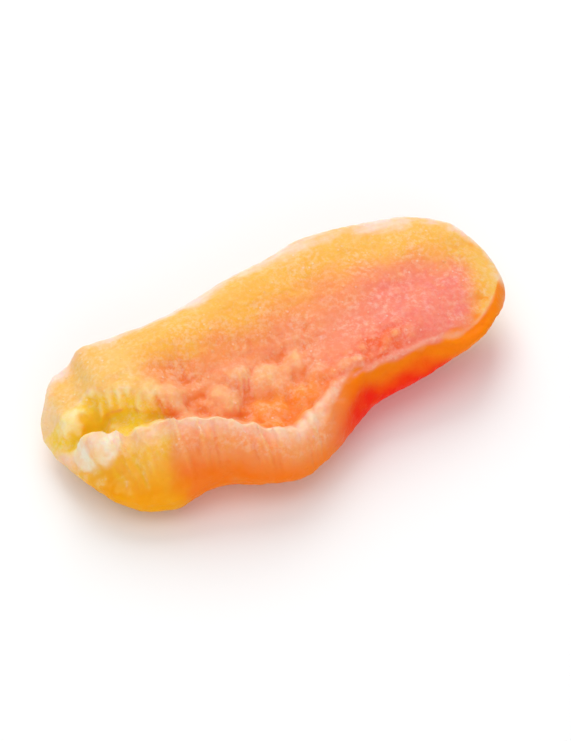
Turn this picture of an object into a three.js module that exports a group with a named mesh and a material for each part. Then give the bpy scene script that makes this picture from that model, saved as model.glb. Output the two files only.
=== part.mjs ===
// One slice of candied, dried papaya, cut lengthwise and lying on its skin side.
//
// Millimetres, +Z up. +X runs along the slice to its rounded end, and +Y points to the far rim, where the
// flesh is nearest the skin. The origin is under the middle of the slice, on the surface that it rests on.
//
// The body starts as a capsule along X. Each point of it has a place along the slice and a share across
// and up its section, and moves to the same shares of the slice's own section there. The cut face above
// and the skin side below are height functions, and the knobs and ruffles are part of the cut face.

import * as THREE from "three";
import { mergeVertices } from "three/addons/utils/BufferGeometryUtils.js";

const { lerp, smoothstep } = THREE.MathUtils;

// Overall size.
const LENGTH = 58.6;

// The slice's sections, from its crumpled end to its rounded end. at: place along the slice. rim: the far
// edge. crest: the near side's upper edge. foot: the near side's widest line, lower down. rimTop, crestTop:
// the heights of the cut face at the rim and at the crest.
const SECTIONS = [
  { at: -29.3, rim: 7.6, crest: -0.6, foot: -0.6, rimTop: 6.2, crestTop: 3.0 },
  { at: -28.5, rim: 8.0, crest: -2.2, foot: -2.6, rimTop: 6.6, crestTop: 3.4 },
  { at: -27.7, rim: 8.7, crest: -4.6, foot: -5.4, rimTop: 6.9, crestTop: 7.2 },
  { at: -26.8, rim: 9.2, crest: -5.5, foot: -6.8, rimTop: 7.0, crestTop: 9.8 },
  { at: -26, rim: 9.6, crest: -5.8, foot: -8.0, rimTop: 7.1, crestTop: 10.2 },
  { at: -23.9, rim: 9.8, crest: -6.1, foot: -9.7, rimTop: 7.6, crestTop: 10.8 },
  { at: -22.2, rim: 10.2, crest: -6.5, foot: -10.8, rimTop: 9.9, crestTop: 11.3 },
  { at: -18, rim: 10.4, crest: -7.0, foot: -12.0, rimTop: 10.7, crestTop: 13.1 },
  { at: -13, rim: 10.0, crest: -8.8, foot: -12.0, rimTop: 11.7, crestTop: 13.4 },
  { at: -7, rim: 11.1, crest: -12.0, foot: -13.9, rimTop: 12.4, crestTop: 11.7 },
  { at: -4, rim: 11.8, crest: -13.2, foot: -14.3, rimTop: 12.7, crestTop: 9.9 },
  { at: 0, rim: 12.7, crest: -11.7, foot: -12.9, rimTop: 12.9, crestTop: 9.4 },
  { at: 8, rim: 13.8, crest: -6.4, foot: -8.2, rimTop: 12.9, crestTop: 10.0 },
  { at: 16, rim: 13.5, crest: -4.9, foot: -7.0, rimTop: 12.3, crestTop: 10.0 },
  { at: 22, rim: 12.6, crest: -3.9, foot: -5.6, rimTop: 11.5, crestTop: 9.4 },
  { at: 29.3, rim: 9.8, crest: -1.0, foot: -2.0, rimTop: 9.6, crestTop: 8.3 },
];

// How rounded the slice is: its ends, how full the left and the right end are, how square its sections are,
// which is more so right of the cavity, and from which share of its height the near side leans back.
const END_ROUNDING = 7;
const END_FULLNESS = { left: 0.6, right: 0.68 };
const SQUARENESS = { left: 4.2, right: 6.5, between: [2, 12] };
const NEAR_LEAN_FROM = 0.3;

// The seed cavity: a trough behind the near crest, in the left half. Its bed is in shares across the slice.
// Towards the crumpled end, a part of the drop from the rim is a steep bank, and the crest grows wider. The
// bank's top is farthest across at its peak, and comes nearer the crest by its slope on both sides of it.
const CAVITY_DEPTH = 4.6;
const CAVITY_SPAN = { from: -41, full: -15, fade: -7, to: 9 };
const CAVITY_BED = { near: 0.1, middle: 0.26, far: 0.78 };
const BANK = { peak: { along: -23.5, share: 0.58 }, slope: 0.033, width: 0.15, part: 0.7, fade: [-17, -12] };
const CREST_WIDENING = { share: 0.12, fade: [-27, -21] };

// How peaked the knobs' domes are: less is flatter on top and steeper at the sides.
const DOME_PEAKEDNESS = 0.7;

// The knobs where the seeds sat: small ones in staggered rows over the cavity, up to this share across,
// and the large ones among them.
const KNOB_PITCH = 3.1;
const KNOB_ROW_PITCH = 2.6;
const KNOB_HEIGHT = 0.45;
const KNOB_RADIUS = 1.75;
const KNOB_UNEVENNESS = { place: 0.6, radius: 0.35 };
const KNOB_ROWS = 7;
const KNOB_COLUMNS = 13;
const KNOB_START = { along: -28, across: -12 };
const KNOB_FADE = { across: [0.42, 0.58], along: [2, 9] };
const LARGE_KNOBS = [
  { along: -2.9, across: -3.3, radius: 3.0, height: 1.6 },
  { along: -4.4, across: -6.4, radius: 2.8, height: 1.4 },
  { along: -6.8, across: -0.4, radius: 2.3, height: 1.2 },
  { along: -9.2, across: -3.8, radius: 2.5, height: 1.3 },
  { along: -8.8, across: 1.6, radius: 1.9, height: 0.9 },
  { along: -10.9, across: 2.4, radius: 2.1, height: 0.9 },
  { along: -14.2, across: -1.5, radius: 1.8, height: 0.9 },
  { along: -0.4, across: -5.8, radius: 1.8, height: 1.0 },
  { along: 0.6, across: -2.0, radius: 1.7, height: 0.9 },
  { along: 2.7, across: -3.9, radius: 1.6, height: 0.8 },
  { along: 4.8, across: -3.2, radius: 1.3, height: 0.6 },
];

// The two-lobed knob on the tip of the near crest, at the crumpled end.
const TIP_KNOBS = [
  { along: -26.7, across: -4.4, radius: 1.9, height: 1.7 },
  { along: -24.3, across: -5.3, radius: 1.9, height: 1.0 },
];

// The ruffle of narrow notches in the near crest, which ends where the cavity does.
const RUFFLE_DEPTH = 0.85;
const RUFFLE_PITCH = 3.1;
const RUFFLE_DRIFT = { length: 0.5, rate: 0.83 };
const RUFFLE_SHARPNESS = 3;
const RUFFLE_FADE = { across: [0.02, 0.25], along: [-4, 4] };

// The slow waves of dried flesh, as two crossing trains.
const WAVE_HEIGHT = 0.12;
const WAVES = [{ along: 0.55, across: 0.3 }, { along: -0.23, across: 0.8 }];

// The skin side: a low hull that rises to the rim, the near side and both ends, is tucked in under the
// rim, and is pressed flat in the middle, where it has lain. The near side rises more right of the cavity.
const RIM_TUCK = 2.4;
const RIM_RISE = { height: 3.6, from: 0.5, to: 1.08 };
const NEAR_RISE = { height: { left: 2.2, right: 4.2, between: [1, 11] }, to: 0.3, along: [-21, -12] };
const CRUMPLED_END_RISE = { height: 2.8, from: -17 };
const ROUND_END_RISE = { height: 3.4, from: 9 };
const PRESSED_FLAT = 0.2;

// How finely the surface is divided. The cut face has its own share of the points round the slice, which
// crowd together where a section is widest. Along the slice, they crowd towards the cavity.
const SIDE_SEGMENTS = 72;
const LENGTH_SEGMENTS = 48;
const END_SEGMENTS = 9;
const CUT_FACE_POINTS = 2 / 3;
const CROWDING = { round: 0.3, along: 4 };

const SECTION_SIZES = ["rim", "crest", "foot", "rimTop", "crestTop"];
const sectionCurve = new THREE.CubicInterpolant(
  SECTIONS.map((section) => section.at),
  SECTIONS.flatMap((section) => SECTION_SIZES.map((size) => section[size])),
  SECTION_SIZES.length,
);

// The section's sizes at a place along the slice.
function sectionAt(along) {
  const values = sectionCurve.evaluate(along);
  return Object.fromEntries(SECTION_SIZES.map((size, index) => [size, values[index]]));
}

// How much of the cavity there is along the slice, from 0 at its ends to 1 in the middle.
function cavityAlong(along) {
  const { from, full, fade, to } = CAVITY_SPAN;
  return smoothstep(along, from, full) * (1 - smoothstep(along, fade, to));
}

// How deep the cavity is across the slice, from 0 to 1: steep behind the crest, gentler towards the rim.
function cavityAcross(along, share) {
  const widening = CREST_WIDENING.share * (1 - smoothstep(along, ...CREST_WIDENING.fade));
  const near = CAVITY_BED.near + widening;
  const middle = CAVITY_BED.middle + widening;
  const bankTop = BANK.peak.share - BANK.slope * Math.abs(along - BANK.peak.along);
  const bank = 1 - smoothstep(share, bankTop - BANK.width, bankTop);
  const slope = 1 - smoothstep(share, middle, CAVITY_BED.far);
  const steepness = BANK.part * (1 - smoothstep(along, ...BANK.fade));
  const belowCrest = Math.max(1 - (Math.max(middle - share, 0) / (middle - near)) ** 2, 0);
  return belowCrest * lerp(slope, bank, steepness);
}

// A number from -1 to 1 that looks random, and is always the same for the same row and column.
function unevenness(row, column) {
  return Math.sin(row * 12.9 + column * 78.2 + row * column * 3.7);
}

function knobAt(row, column) {
  const { place, radius } = KNOB_UNEVENNESS;
  const step = column + (row % 2) / 2;
  return {
    along: KNOB_START.along + KNOB_PITCH * step + place * unevenness(row, column),
    across: KNOB_START.across + KNOB_ROW_PITCH * row + place * unevenness(column, row),
    radius: KNOB_RADIUS + radius * unevenness(row + 1, column),
    height: KNOB_HEIGHT,
  };
}

const knobs = [...LARGE_KNOBS];
for (let row = 0; row < KNOB_ROWS; row += 1) {
  for (let column = 0; column < KNOB_COLUMNS; column += 1) knobs.push(knobAt(row, column));
}

// How high one knob's dome is at a point, which is 0 at its edge and beyond.
function domeAt(dome, along, across) {
  const distance = Math.hypot(along - dome.along, across - dome.across);
  return dome.height * Math.max(1 - (distance / dome.radius) ** 2, 0) ** DOME_PEAKEDNESS;
}

// The height of many knobs at a point, where the highest dome shows.
function highestDome(domes, along, across) {
  return Math.max(...domes.map((dome) => domeAt(dome, along, across)));
}

// The depth of the ruffle's notches at a place along the crest.
function ruffleDepth(along, share) {
  const drift = RUFFLE_DRIFT.length * Math.sin(along * RUFFLE_DRIFT.rate);
  const notch = Math.abs(Math.cos(((along + drift) * Math.PI) / RUFFLE_PITCH)) ** RUFFLE_SHARPNESS;
  const near = 1 - smoothstep(share, ...RUFFLE_FADE.across);
  const left = 1 - smoothstep(along, ...RUFFLE_FADE.along);
  return RUFFLE_DEPTH * notch * near * left;
}

function waveHeight(along, across) {
  const trains = WAVES.map((wave) => Math.sin(along * wave.along + across * wave.across));
  return WAVE_HEIGHT * (trains[0] + trains[1]);
}

// The height of the cut face. The share across is 0 at the near crest and 1 at the far rim.
function cutFaceHeight(along, across, share, section) {
  const cavity = cavityAlong(along);
  const knobby = (1 - smoothstep(share, ...KNOB_FADE.across)) * (1 - smoothstep(along, ...KNOB_FADE.along));
  return lerp(section.crestTop, section.rimTop, share)
    - CAVITY_DEPTH * cavity * cavityAcross(along, share)
    + knobby * highestDome(knobs, along, across)
    + highestDome(TIP_KNOBS, along, across)
    - ruffleDepth(along, share)
    + waveHeight(along, across);
}

// The height of the skin side, before it is pressed flat.
function skinSideHeight(along, share) {
  const end = LENGTH / 2;
  const rim = smoothstep(share, RIM_RISE.from, RIM_RISE.to);
  const near = (1 - smoothstep(share, 0, NEAR_RISE.to)) * smoothstep(along, ...NEAR_RISE.along);
  const { left, right, between } = NEAR_RISE.height;
  const crumpledEnd = smoothstep(-along, -CRUMPLED_END_RISE.from, end);
  const roundEnd = smoothstep(along, ROUND_END_RISE.from, end);
  return RIM_RISE.height * rim
    + lerp(left, right, smoothstep(along, ...between)) * near
    + CRUMPLED_END_RISE.height * crumpledEnd
    + ROUND_END_RISE.height * roundEnd;
}

// Moves a point's angle round the capsule, from 0 to 2 pi, to where it is wanted. Up to pi, it is above.
function crowdedAngle(angle) {
  const turn = angle / (2 * Math.PI);
  const isAbove = turn <= CUT_FACE_POINTS;
  const above = (Math.PI * turn) / CUT_FACE_POINTS;
  const below = Math.PI * (1 + (turn - CUT_FACE_POINTS) / (1 - CUT_FACE_POINTS));
  const spread = isAbove ? above : below;
  return spread + (CROWDING.round / 2) * Math.sin(2 * spread);
}

// Turns an angle round the capsule into shares across and up the section, from -1 to 1. The points lie on
// a squared circle.
function squaredCircle(angle, squareness) {
  const crowded = crowdedAngle(angle);
  const across = Math.cos(crowded);
  const up = Math.sin(crowded);
  const size = (Math.abs(across) ** squareness + Math.abs(up) ** squareness) ** (1 / squareness);
  return { across: across / size, up: up / size };
}

// Moves a place along the capsule to where it is wanted.
function crowdedAlong(along) {
  const share = along / (LENGTH / 2 - END_ROUNDING);
  return along - CROWDING.along * Math.max(1 - share ** 2, 0);
}

// Moves one point of the capsule to its place on the slice.
function shapePoint(point) {
  const along = crowdedAlong(point.x);
  const section = sectionAt(along);
  const fullness = point.x < 0 ? END_FULLNESS.left : END_FULLNESS.right;
  const girth = Math.min(Math.hypot(point.y, point.z) / END_ROUNDING, 1) ** fullness;
  const squareness = lerp(SQUARENESS.left, SQUARENESS.right, smoothstep(along, ...SQUARENESS.between));
  const angle = (Math.atan2(point.z, point.y) + 2 * Math.PI) % (2 * Math.PI);
  const ring = squaredCircle(angle, squareness);
  const share = (1 + ring.across * girth) / 2;
  const up = (1 + ring.up * girth) / 2;
  const near = lerp(section.foot, section.crest, smoothstep(up, NEAR_LEAN_FROM, 1));
  const far = section.rim - RIM_TUCK * (1 - up) ** 2;
  const across = lerp(near, far, share);
  const height = lerp(skinSideHeight(along, share), cutFaceHeight(along, across, share, section), up);
  point.set(along, across, Math.max(height, PRESSED_FLAT));
}

// A capsule along X with shared points, as long as the slice.
function capsuleGeometry() {
  const straight = LENGTH - 2 * END_ROUNDING;
  const capsule = new THREE.CapsuleGeometry(
    END_ROUNDING, straight, END_SEGMENTS, SIDE_SEGMENTS, LENGTH_SEGMENTS,
  );
  capsule.rotateZ(-Math.PI / 2);
  capsule.deleteAttribute("normal");
  capsule.deleteAttribute("uv");
  return mergeVertices(capsule);
}

// The slice, centred over the origin and resting on it.
function sliceGeometry() {
  const geometry = capsuleGeometry();
  const positions = geometry.getAttribute("position");
  const point = new THREE.Vector3();
  for (let index = 0; index < positions.count; index += 1) {
    point.fromBufferAttribute(positions, index);
    shapePoint(point);
    positions.setXYZ(index, point.x, point.y, point.z);
  }
  geometry.computeBoundingBox();
  const { min, max } = geometry.boundingBox;
  geometry.translate(-(min.x + max.x) / 2, -(min.y + max.y) / 2, -min.z);
  geometry.computeVertexNormals();
  return geometry;
}

const flesh = new THREE.MeshStandardMaterial({ color: "#f7a35c", roughness: 0.6, metalness: 0 });
const slice = new THREE.Mesh(sliceGeometry(), flesh);
slice.name = "papaya_slice";

const part = new THREE.Group();
part.add(slice);

export default part;
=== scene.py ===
"""Dresses one slice of dried papaya: its relief, its flesh, its sugar, and the light it is seen in."""

import logging
import math
from collections.abc import Sequence
from dataclasses import dataclass, field
from enum import Enum

import bmesh
import bpy
import numpy as np
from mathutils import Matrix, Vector, noise


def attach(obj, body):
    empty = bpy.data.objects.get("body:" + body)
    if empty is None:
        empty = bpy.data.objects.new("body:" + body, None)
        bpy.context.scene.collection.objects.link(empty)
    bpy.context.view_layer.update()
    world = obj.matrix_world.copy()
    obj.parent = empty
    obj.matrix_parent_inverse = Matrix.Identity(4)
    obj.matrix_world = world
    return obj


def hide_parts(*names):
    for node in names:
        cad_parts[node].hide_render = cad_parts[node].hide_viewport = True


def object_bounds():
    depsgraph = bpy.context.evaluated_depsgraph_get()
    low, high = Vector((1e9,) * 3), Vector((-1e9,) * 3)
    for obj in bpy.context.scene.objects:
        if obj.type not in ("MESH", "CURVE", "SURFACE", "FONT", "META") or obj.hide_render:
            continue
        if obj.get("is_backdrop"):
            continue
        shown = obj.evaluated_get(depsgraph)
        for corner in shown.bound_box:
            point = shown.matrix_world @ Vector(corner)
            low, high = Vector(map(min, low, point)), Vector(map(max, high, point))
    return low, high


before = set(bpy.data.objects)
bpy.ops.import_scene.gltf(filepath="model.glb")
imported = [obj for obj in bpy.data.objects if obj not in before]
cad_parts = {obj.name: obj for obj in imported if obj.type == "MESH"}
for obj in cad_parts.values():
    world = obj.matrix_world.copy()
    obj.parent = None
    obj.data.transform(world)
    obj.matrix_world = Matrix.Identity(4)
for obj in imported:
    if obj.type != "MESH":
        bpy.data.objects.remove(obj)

LOG = logging.getLogger("papaya")
MM = 0.001
ALONG, ACROSS, UP = range(3)
EVERY_AXIS = {"use_axis_x": True, "use_axis_y": True, "use_axis_z": True}

Span = tuple[float, float]
Triple = tuple[float, float, float]
Colour = tuple[int, int, int]


class Tissue(Enum):
    """The kinds of flesh, and the places of painted shade and painted highlights, each painted on the
    slice as an attribute from 0 to 1.
    """

    RIND = "rind"
    CAVITY = "cavity"
    BED_SHADE = "bed"
    KNOB_HIGHLIGHT = "knob"
    STRIP = "strip"
    CREASE_SHADE = "crease"
    TIP = "tip"
    WALL_SHADE = "wall"
    DEEP_SHADE = "deep"
    BLUSH = "blush"
    CREST_HIGHLIGHT = "crest"
    LOBE_HIGHLIGHT = "lobe_highlight"
    EDGE = "edge"
    LIP = "lip"
    LIP_LOW_SHADE = "lip_low_shade"
    SKIN = "skin"


# ---------------------------------------------------------------------------------------------------
# Small tools


def linear(colour: Colour) -> tuple[float, float, float, float]:
    """Turns a display colour of 0 to 255 into the linear colour that a shader takes.

    Args:
        colour: Its red, green and blue, each from 0 to 255.

    Returns:
        The red, green, blue and alpha, each from 0 to 1.
    """
    shares = [channel / 255 for channel in colour]
    curved = [s / 12.92 if s <= 0.04045 else ((s + 0.055) / 1.055) ** 2.4 for s in shares]
    return (*curved, 1.0)


def rise(values: np.ndarray, low: float, high: float) -> np.ndarray:
    """Rises smoothly from 0 to 1.

    Args:
        values: The numbers to map.
        low: Where the result is 0.
        high: Where the result is 1. It may be below low, and the result then falls.

    Returns:
        The smoothed shares, from 0 to 1.
    """
    share = np.clip((values - low) / (high - low), 0, 1)
    return share * share * (3 - 2 * share)


def points_of(mesh: bpy.types.Mesh) -> np.ndarray:
    """The mesh's points in millimetres, one row each.

    Args:
        mesh: The mesh to read.

    Returns:
        One row of three places for each point.
    """
    flat = np.empty(len(mesh.vertices) * 3, np.float32)
    mesh.vertices.foreach_get("co", flat)
    return flat.reshape(-1, 3).astype(float) / MM


def normals_of(mesh: bpy.types.Mesh) -> np.ndarray:
    """The mesh's outward directions at its points, one row each.

    Args:
        mesh: The mesh to read.

    Returns:
        One row for each point, of length 1.
    """
    flat = np.empty(len(mesh.vertices) * 3, np.float32)
    mesh.vertex_normals.foreach_get("vector", flat)
    return flat.reshape(-1, 3).astype(float)


def move_points(mesh: bpy.types.Mesh, points: np.ndarray) -> None:
    """Puts the mesh's points at new places, given in millimetres."""
    mesh.vertices.foreach_set("co", (points * MM).astype(np.float32).ravel())
    mesh.update()


def soften(mesh: bmesh.types.BMesh, points: Sequence[bmesh.types.BMVert]) -> None:
    """Draws each of the given points halfway towards the middle of its neighbours."""
    bmesh.ops.smooth_vert(mesh, verts=points, factor=0.5, **EVERY_AXIS)


def link(piece: bpy.types.Object) -> bpy.types.Object:
    """Puts an object in the scene and gives it back."""
    bpy.context.scene.collection.objects.link(piece)
    return piece


def bake_modifiers(piece: bpy.types.Object) -> None:
    """Replaces a piece's mesh by what its modifiers make of it.

    Args:
        piece: The piece, which has no modifiers afterwards.
    """
    evaluated = piece.evaluated_get(bpy.context.evaluated_depsgraph_get())
    finished = bpy.data.meshes.new_from_object(evaluated)
    rough = piece.data
    piece.modifiers.clear()
    piece.data = finished
    bpy.data.meshes.remove(rough)


def back_vector(azimuth: float, elevation: float) -> Vector:
    """The direction from the slice to a viewer or a light, for angles in degrees.

    Args:
        azimuth: How far the direction is turned from the near side, to the right.
        elevation: How far it is above the floor.

    Returns:
        A vector of length 1.
    """
    turn, tilt = math.radians(azimuth), math.radians(elevation)
    level = math.cos(tilt)
    return Vector((math.sin(turn) * level, -math.cos(turn) * level, math.sin(tilt)))


# ---------------------------------------------------------------------------------------------------
# Patterns in space. Each has a seed, a shift that keeps two patterns from looking alike.


@dataclass(frozen=True)
class Grain:
    """Smooth noise. Lengths in millimetres.

    Attributes:
        pitch: How long a bump is along, across and up.
        seed: The pattern's shift.
        strength: About the most that the noise differs from 0.
    """

    pitch: Triple
    seed: float
    strength: float = 1.0
    gain: float = 1.6

    def at(self, points: np.ndarray) -> np.ndarray:
        """The noise's value at each point.

        Args:
            points: The places, in millimetres.

        Returns:
            One value for each place.
        """
        scaled = points / np.array(self.pitch) + self.seed
        raw = np.array([noise.noise(Vector(place)) for place in scaled])
        return self.strength * (raw * self.gain)


@dataclass(frozen=True)
class Domes:
    """Packed round domes of uneven size. Lengths in millimetres.

    Attributes:
        pitch: How far apart the domes are.
        seed: The pattern's shift.
        pace: How fast the pattern changes along, across and up.
        smallest: The least radius of a dome, in pitches.
        variety: How much larger the largest one is.
        scatter: The weights that give each dome its own size.
        crispness: How sharp the valleys between the domes are.
        valley: The least value, where 1 is the top of a dome.
    """

    pitch: float
    seed: float
    pace: Triple = (1, 1, 0.3)
    smallest: float = 0.56
    variety: float = 0.22
    scatter: Triple = (12.9, 78.2, 37.7)
    crispness: float = 14
    valley: float = -0.3

    def at(self, points: np.ndarray) -> np.ndarray:
        """The domes' height at each point.

        Args:
            points: The places, in millimetres.

        Returns:
            One value for each place, from the valley's to 1 on top of a dome.
        """
        places = points * self.pace / self.pitch + self.seed
        found = [noise.voronoi(Vector(place)) for place in places]
        distances = np.array([nearest for nearest, _ in found])
        centres = np.array([[tuple(centre) for centre in nearby] for _, nearby in found])
        radii = self.smallest + self.variety * np.abs(np.sin(centres @ self.scatter))
        caps = 1 - (distances / radii) ** 2
        highest = np.log(np.exp(self.crispness * caps).sum(axis=1)) / self.crispness
        return np.maximum(highest, self.valley)


@dataclass(frozen=True)
class Folds:
    """Narrow ridges between wide hollows, as in skin that has shrunk. Lengths in millimetres.

    Attributes:
        pitch: How far apart the ridges are.
        seed: The pattern's shift.
        bend_pitch: How long a ridge's bends are, in pitches.
        bend_shift: What the bends' seed differs by.
        bend: How far the bends swerve, in pitches.
        steepness: How steep the ridges' sides are.
        roundness: How round the ridges' tops are.
    """

    pitch: float
    seed: float
    bend_pitch: float = 1.4
    bend_shift: float = 4.6
    bend: float = 0.35
    steepness: float = 2.4
    roundness: float = 0.01

    def at(self, points: np.ndarray) -> np.ndarray:
        """The ridges' height at each point, from about -1 to 1.

        Args:
            points: The places, in millimetres.

        Returns:
            One value for each place.
        """
        bends = Grain((self.pitch * self.bend_pitch,) * 3, self.seed + self.bend_shift).at(points)
        swerved = points + self.bend * self.pitch * bends[:, None]
        value = Grain((self.pitch,) * 3, self.seed).at(swerved)
        return 1 - self.steepness * np.sqrt(value ** 2 + self.roundness)


# ---------------------------------------------------------------------------------------------------
# Finishes


class Recipe:
    """Builds one material, one node for each short call."""

    MIX_UNDER, MIX_OVER, MIX_RESULT = 6, 7, 2

    def __init__(self, name: str) -> None:
        """Starts a material with a plain shader.

        Args:
            name: The material's name.
        """
        self.material = bpy.data.materials.new(name)
        self.material.use_nodes = True
        self.nodes = self.material.node_tree.nodes
        self.links = self.material.node_tree.links
        self.shader = self.nodes["Principled BSDF"]
        self.place = self.nodes.new("ShaderNodeTexCoord").outputs["Object"]

    def feed(self, source: object, socket: bpy.types.NodeSocket) -> None:
        """Links a source to a socket, or sets the socket if the source is a plain value.

        Args:
            source: Another node's output, or a plain value.
            socket: The input that is fed.
        """
        if isinstance(source, bpy.types.NodeSocket):
            self.links.new(source, socket)
        else:
            socket.default_value = source

    def painted(self, tissue: Tissue) -> bpy.types.NodeSocket:
        """Reads one of the slice's painted attributes.

        Args:
            tissue: The kind of flesh.

        Returns:
            Its share, from 0 to 1.
        """
        node = self.nodes.new("ShaderNodeAttribute")
        node.attribute_name = tissue.value
        return node.outputs["Fac"]

    def stretched(self, along: float, across: float, up: float) -> bpy.types.NodeSocket:
        """Coordinates in pitches, where each pitch is given in millimetres.

        Args:
            along: The pitch along the slice.
            across: The pitch across it.
            up: The pitch upwards.

        Returns:
            The coordinates.
        """
        node = self.nodes.new("ShaderNodeMapping")
        node.inputs["Scale"].default_value = [1 / (pitch * MM) for pitch in (along, across, up)]
        self.feed(self.place, node.inputs["Vector"])
        return node.outputs["Vector"]

    def noise(self, pitch: float, detail: float = 2, roughness: float = 0.5, stretch: float = 1
              ) -> bpy.types.NodeSocket:
        """Noise of a given pitch.

        Args:
            pitch: The size of a bump, in millimetres.
            detail: How many finer layers it has.
            roughness: How strong each finer layer is.
            stretch: How many times longer the bumps are along the slice.

        Returns:
            The noise's value, about 0.5 on average.
        """
        node = self.nodes.new("ShaderNodeTexNoise")
        node.inputs["Scale"].default_value = 1
        node.inputs["Detail"].default_value = detail
        node.inputs["Roughness"].default_value = roughness
        self.feed(self.stretched(pitch * stretch, pitch, pitch), node.inputs["Vector"])
        return node.outputs["Fac"]

    def cells(self, pitch: float) -> bpy.types.NodeSocket:
        """The distance to the nearest of many scattered spots, a given pitch apart in millimetres.

        Args:
            pitch: How far apart the spots are.

        Returns:
            The distance, in pitches.
        """
        node = self.nodes.new("ShaderNodeTexVoronoi")
        node.inputs["Scale"].default_value = 1
        self.feed(self.stretched(pitch, pitch, pitch), node.inputs["Vector"])
        return node.outputs["Distance"]

    def ranged(self, source: object, low: float, high: float, start: float = 0, end: float = 1
               ) -> bpy.types.NodeSocket:
        """Maps a value smoothly.

        Args:
            source: The value to map.
            low: The value that becomes start.
            high: The value that becomes end.
            start: The result at low.
            end: The result at high.

        Returns:
            The mapped value.
        """
        node = self.nodes.new("ShaderNodeMapRange")
        node.interpolation_type = "SMOOTHSTEP"
        self.feed(source, node.inputs["Value"])
        bounds = {"From Min": low, "From Max": high, "To Min": start, "To Max": end}
        for socket, value in bounds.items():
            node.inputs[socket].default_value = value
        return node.outputs["Result"]

    def sum(self, first: object, second: object) -> bpy.types.NodeSocket:
        """The sum of two values."""
        return self.calculated("ADD", first, second)

    def product(self, first: object, second: object) -> bpy.types.NodeSocket:
        """The product of two values."""
        return self.calculated("MULTIPLY", first, second)

    def larger(self, first: object, second: object) -> bpy.types.NodeSocket:
        """The larger of two values."""
        return self.calculated("MAXIMUM", first, second)

    def calculated(self, operation: str, first: object, second: object) -> bpy.types.NodeSocket:
        """The result of a sum, product or the like of two values.

        Args:
            operation: The shader's name for what is done.
            first: The first value.
            second: The second value.

        Returns:
            The result.
        """
        node = self.nodes.new("ShaderNodeMath")
        node.operation = operation
        self.feed(first, node.inputs[0])
        self.feed(second, node.inputs[1])
        return node.outputs[0]

    def blend(self, share: object, under: object, over: object) -> bpy.types.NodeSocket:
        """A colour between two colours, by a share from 0 to 1.

        Args:
            share: How much of the upper colour there is.
            under: The lower colour.
            over: The upper colour.

        Returns:
            The colour between them.
        """
        node = self.nodes.new("ShaderNodeMix")
        node.data_type = "RGBA"
        self.feed(share, node.inputs["Factor"])
        self.feed(under, node.inputs[self.MIX_UNDER])
        self.feed(over, node.inputs[self.MIX_OVER])
        return node.outputs[self.MIX_RESULT]

    def gradient(self, share: object, stops: Sequence[tuple[float, Colour]]) -> bpy.types.NodeSocket:
        """A colour from a row of (place, colour) stops.

        Args:
            share: Where along the row, from 0 to 1.
            stops: Each place along the row with its colour, in order.

        Returns:
            The colour there.
        """
        node = self.nodes.new("ShaderNodeValToRGB")
        elements = node.color_ramp.elements
        for element, (position, colour) in zip(elements, (stops[0], stops[-1])):
            element.position, element.color = position, linear(colour)
        for position, colour in stops[1:-1]:
            elements.new(position).color = linear(colour)
        self.feed(share, node.inputs["Fac"])
        return node.outputs["Color"]

    def bump(self, height: object, depth: float, under: object = None) -> bpy.types.NodeSocket:
        """A bumped normal.

        Args:
            height: The height, from 0 to 1.
            depth: What a height of 1 is, in millimetres.
            under: The normal that this bump is added to.

        Returns:
            The new normal.
        """
        node = self.nodes.new("ShaderNodeBump")
        node.inputs["Distance"].default_value = depth * MM
        self.feed(height, node.inputs["Height"])
        if under is not None:
            self.feed(under, node.inputs["Normal"])
        return node.outputs["Normal"]

    def set(self, **values: object) -> None:
        """Feeds the shader's inputs, named with _ for spaces."""
        for name, value in values.items():
            self.feed(value, self.shader.inputs[name.replace("_", " ")])


@dataclass(frozen=True)
class Overlay:
    """One kind of flesh, or a painted shade or highlight, painted over the slice's layers.

    Attributes:
        tissue: Where it is.
        colour: Its colour.
        faintest: Its share of the colour in its faintest patches.
        strongest: Its share in its strongest patches.
        at_tip: Its colour at the slice's left tip, where that is another one.
    """

    tissue: Tissue
    colour: Colour
    faintest: float
    strongest: float
    at_tip: Colour | None = None


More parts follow.
